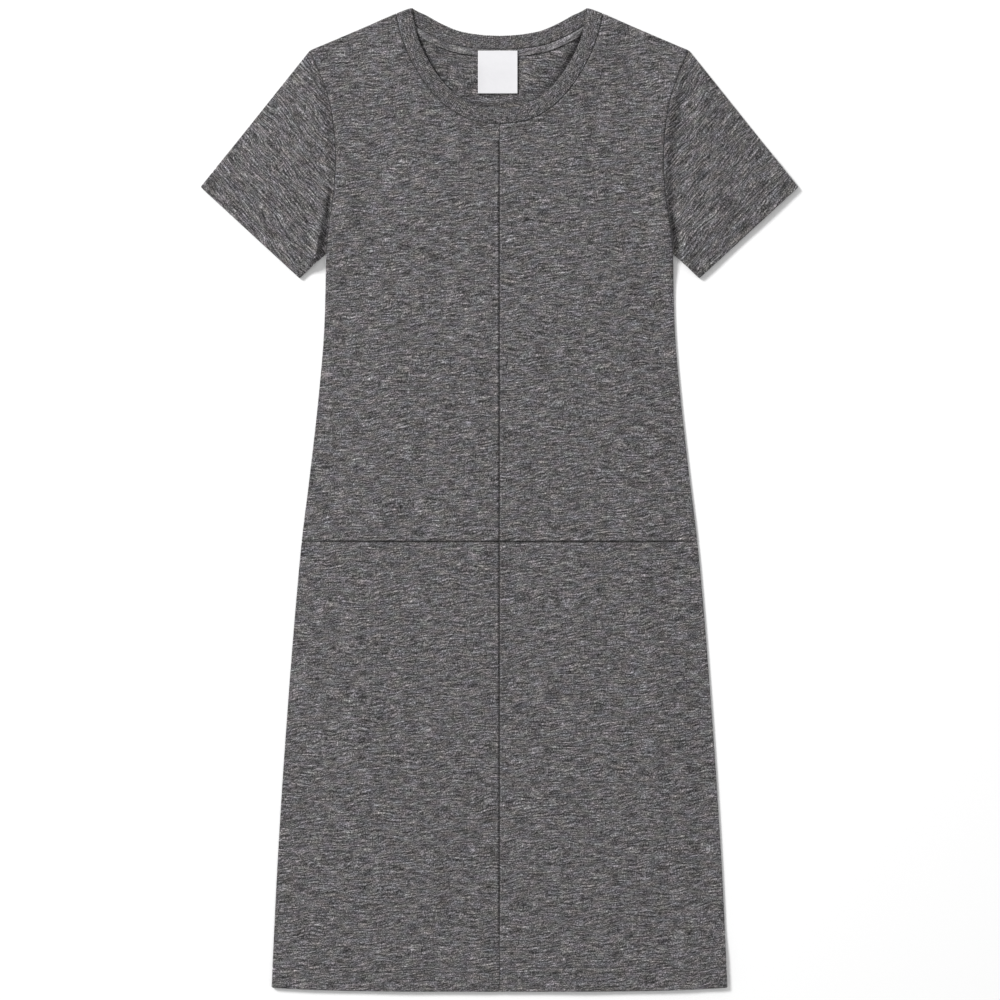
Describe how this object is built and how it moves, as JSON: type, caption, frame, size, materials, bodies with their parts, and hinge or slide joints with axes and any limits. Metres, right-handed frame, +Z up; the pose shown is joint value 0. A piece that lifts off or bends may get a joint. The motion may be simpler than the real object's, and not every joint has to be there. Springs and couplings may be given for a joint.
{
  "type": "t-shirt dress",
  "caption": "Short-sleeved crew-neck T-shirt dress in marl jersey, laid flat, with centre and waist seams, a rib neckband and a bare neck label.",
  "frame": {"origin": "middle of the dress's outline, on the surface it lies on", "axes": "+X towards the wearer's left, +Y from hem to neck, +Z up from the surface, so the front faces +Z"},
  "size_m": [0.6072, 1.0004, 0.0059],
  "materials": {
    "marl_jersey": "matt marl jersey knit, dark grey with light flecks",
    "marl_rib": "matt fine rib knit, the same yarn, a little darker",
    "label_satin": "white woven satin, bare"
  },
  "bodies": {
    "root": {"front_bodice_left": "marl_jersey", "front_bodice_right": "marl_jersey", "front_skirt_left": "marl_jersey", "front_skirt_right": "marl_jersey", "back_bodice_left": "marl_jersey", "back_bodice_right": "marl_jersey", "back_skirt_left": "marl_jersey", "back_skirt_right": "marl_jersey", "sleeve_left": "marl_jersey", "sleeve_right": "marl_jersey", "neckband": "marl_rib", "neck_tape": "marl_jersey", "label": "label_satin"}
  },
  "joints": []
}
